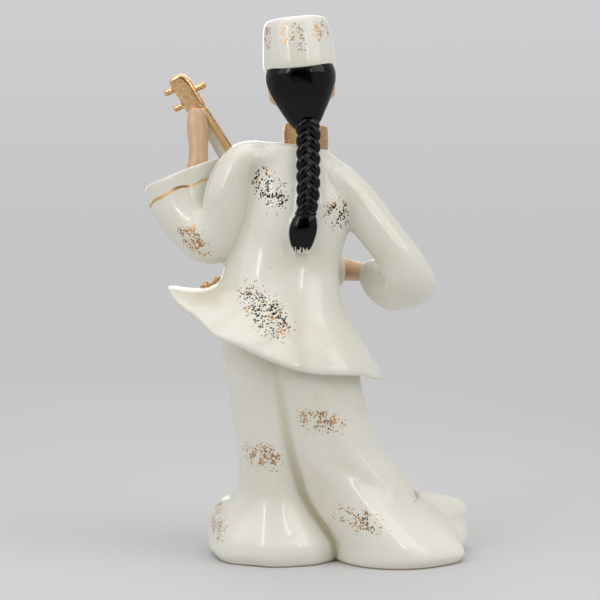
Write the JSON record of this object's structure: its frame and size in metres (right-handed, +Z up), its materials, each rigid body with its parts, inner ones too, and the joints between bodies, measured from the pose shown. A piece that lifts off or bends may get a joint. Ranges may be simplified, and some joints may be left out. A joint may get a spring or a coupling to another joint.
{
  "type": "porcelain figurine",
  "caption": "Standing porcelain figure of a lute player in a flared tunic, wide trousers, round cap and long braid, on a flat glazed hem.",
  "frame": {"origin": "centre of the figure's bounding box, on the floor plane under the hem", "axes": "+Z up through the cap, -Y the way the figure faces, +X the figure's own left"},
  "size_m": [0.1818, 0.1089, 0.3],
  "materials": {
    "cream_glaze": "clear gloss glaze over cream-white porcelain",
    "flesh_glaze": "satin flesh-coloured overglaze",
    "black_glaze": "gloss black glaze",
    "gold_lustre": "bright fired gold lustre over glaze"
  },
  "bodies": {
    "root": {"trousers": "cream_glaze", "tunic": "cream_glaze", "left_sleeve": "cream_glaze", "right_sleeve": "cream_glaze", "cap": "cream_glaze", "lute_body": "cream_glaze", "lute_skin": "cream_glaze", "lute_neck": "cream_glaze", "head": "flesh_glaze", "left_hand": "flesh_glaze", "right_hand": "flesh_glaze", "hair": "black_glaze", "braid": "black_glaze", "braid_tail": "black_glaze", "collar": "gold_lustre", "finger_board": "gold_lustre", "peg_head": "gold_lustre", "peg_1": "gold_lustre", "peg_2": "gold_lustre", "peg_3": "gold_lustre", "bridge": "gold_lustre", "tail_piece": "gold_lustre", "knot_1": "gold_lustre", "knot_2": "gold_lustre", "knot_3": "gold_lustre", "knot_4": "gold_lustre", "knot_5": "gold_lustre"}
  },
  "joints": []
}
